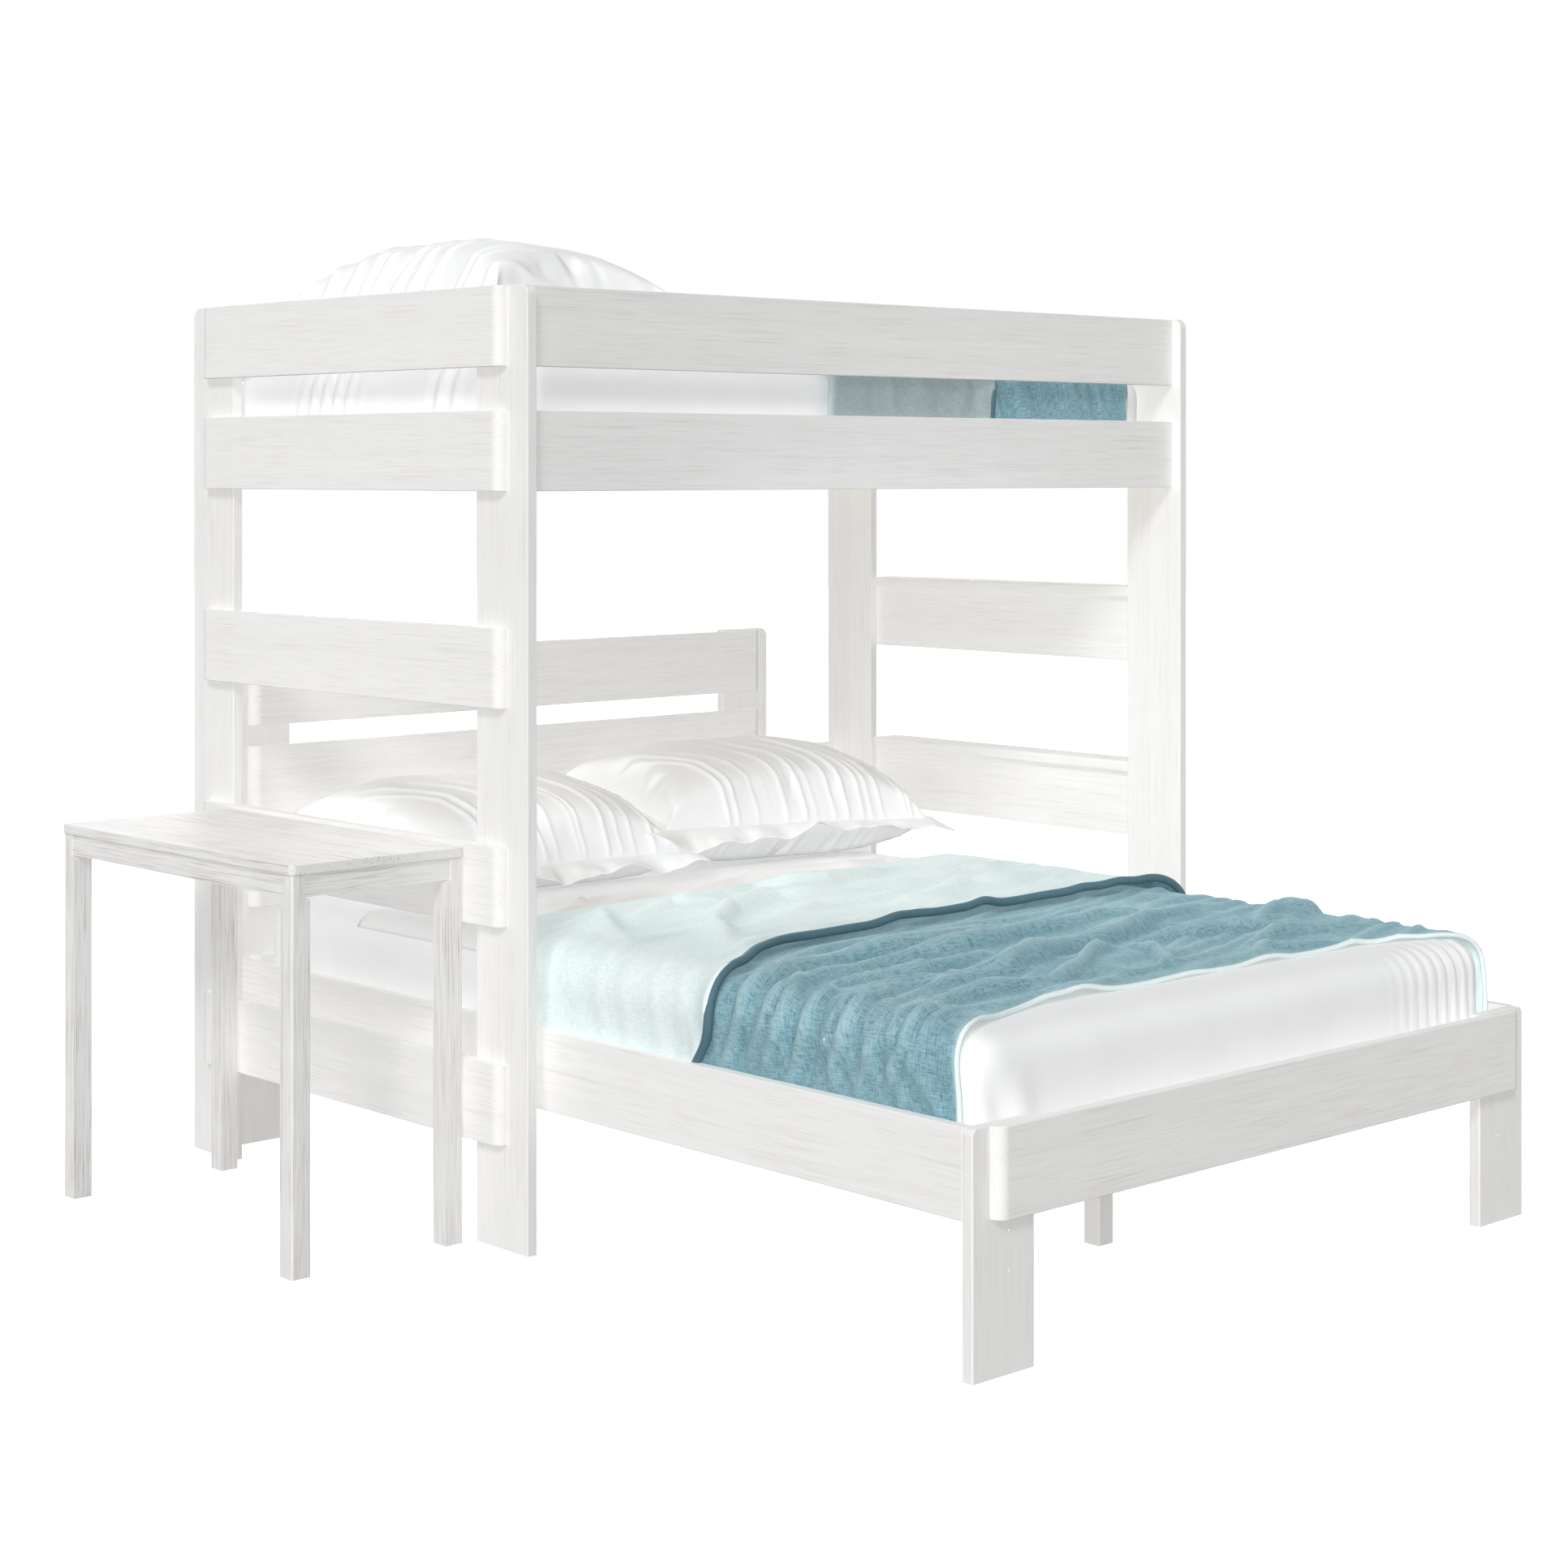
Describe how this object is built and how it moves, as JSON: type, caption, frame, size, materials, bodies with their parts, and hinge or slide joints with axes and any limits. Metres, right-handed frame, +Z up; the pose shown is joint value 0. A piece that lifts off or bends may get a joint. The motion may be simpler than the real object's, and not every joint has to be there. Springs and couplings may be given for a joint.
{
  "type": "loft bed with desk",
  "caption": "L-shaped loft bed: a raised twin bed with end ladder, a queen platform bed standing crosswise under it, and a narrow desk at its end, with mattresses and bedding.",
  "frame": {"origin": "bottom centre of the bounding box, on the floor", "axes": "+X along the loft bed from the desk to the ladder end, +Y from the foot of the lower bed to its headboard, +Z up"},
  "size_m": [2.458, 2.151, 1.894],
  "materials": {
    "washed_wood": "whitewashed, wire-brushed, satin",
    "desk_wood": "whitewashed with stronger grain, satin",
    "plain_wood": "plain planed pine",
    "steel": "zinc plated",
    "mattress_cover": "white fitted sheet",
    "pillow_cover": "white cotton",
    "blanket": "teal linen weave with pale mint lining"
  },
  "bodies": {
    "loft": {"loft_post_front_left": "washed_wood", "loft_post_front_right": "washed_wood", "loft_post_back_left": "washed_wood", "loft_post_back_right": "washed_wood", "left_end_rail_1": "washed_wood", "left_end_rail_2": "washed_wood", "left_end_rail_3": "washed_wood", "left_end_rail_4": "washed_wood", "left_end_rail_5": "washed_wood", "right_end_rail_1": "washed_wood", "right_end_rail_2": "washed_wood", "right_end_rail_3": "washed_wood", "right_end_rail_4": "washed_wood", "ladder_tread_1": "washed_wood", "ladder_tread_2": "washed_wood", "ladder_tread_3": "washed_wood", "front_side_rail": "washed_wood", "front_guard_rail": "washed_wood", "back_side_rail": "washed_wood", "back_guard_rail": "washed_wood", "back_low_rail": "washed_wood", "loft_ledgers": "plain_wood", "loft_slats": "plain_wood", "loft_bolts": "steel", "loft_brackets": "steel"},
    "lower_bed": {"foot_post_left": "washed_wood", "foot_post_right": "washed_wood", "foot_rail": "washed_wood", "head_post_left": "washed_wood", "head_post_right": "washed_wood", "head_rail": "washed_wood", "head_plank_1": "washed_wood", "head_plank_2": "washed_wood", "head_plank_3": "washed_wood", "bed_side_rail_left": "washed_wood", "bed_side_rail_right": "washed_wood", "bed_ledgers": "plain_wood", "center_beam": "plain_wood", "support_legs": "washed_wood", "bed_slats": "plain_wood", "bed_bolts": "steel", "bed_brackets": "steel"},
    "desk": {"desk_top": "desk_wood", "desk_leg_front_left": "desk_wood", "desk_leg_front_right": "desk_wood", "desk_leg_back_left": "desk_wood", "desk_leg_back_right": "desk_wood", "desk_apron_left": "desk_wood", "desk_apron_right": "desk_wood", "desk_apron_front": "desk_wood", "desk_apron_back": "desk_wood", "desk_corner_blocks": "plain_wood"},
    "loft_mattress": {"loft_mattress": "mattress_cover", "loft_blanket": "blanket"},
    "loft_pillow": {"loft_pillow": "pillow_cover"},
    "bed_mattress": {"bed_mattress": "mattress_cover", "bed_blanket": "blanket"},
    "bed_pillow_left": {"bed_pillow_left": "pillow_cover"},
    "bed_pillow_right": {"bed_pillow_right": "pillow_cover"}
  },
  "joints": [
    {"name": "lower_bed_slide", "type": "slide", "parent": "loft", "child": "lower_bed", "axis": [0, -1, 0], "range_m": [0, 1.15]},
    {"name": "desk_slide", "type": "slide", "parent": "loft", "child": "desk", "axis": [-1, 0, 0], "range_m": [0, 0.6]},
    {"name": "loft_mattress_lift", "type": "slide", "parent": "loft", "child": "loft_mattress", "axis": [0, 0, 1], "range_m": [0, 0.36]},
    {"name": "loft_pillow_lift", "type": "slide", "parent": "loft_mattress", "child": "loft_pillow", "axis": [0, 0, 1], "range_m": [0, 0.3]},
    {"name": "bed_mattress_lift", "type": "slide", "parent": "lower_bed", "child": "bed_mattress", "axis": [0, 0, 1], "range_m": [0, 0.16]},
    {"name": "bed_pillow_left_lift", "type": "slide", "parent": "bed_mattress", "child": "bed_pillow_left", "axis": [0, 0, 1], "range_m": [0, 0.3]},
    {"name": "bed_pillow_right_lift", "type": "slide", "parent": "bed_mattress", "child": "bed_pillow_right", "axis": [0, 0, 1], "range_m": [0, 0.3]}
  ]
}
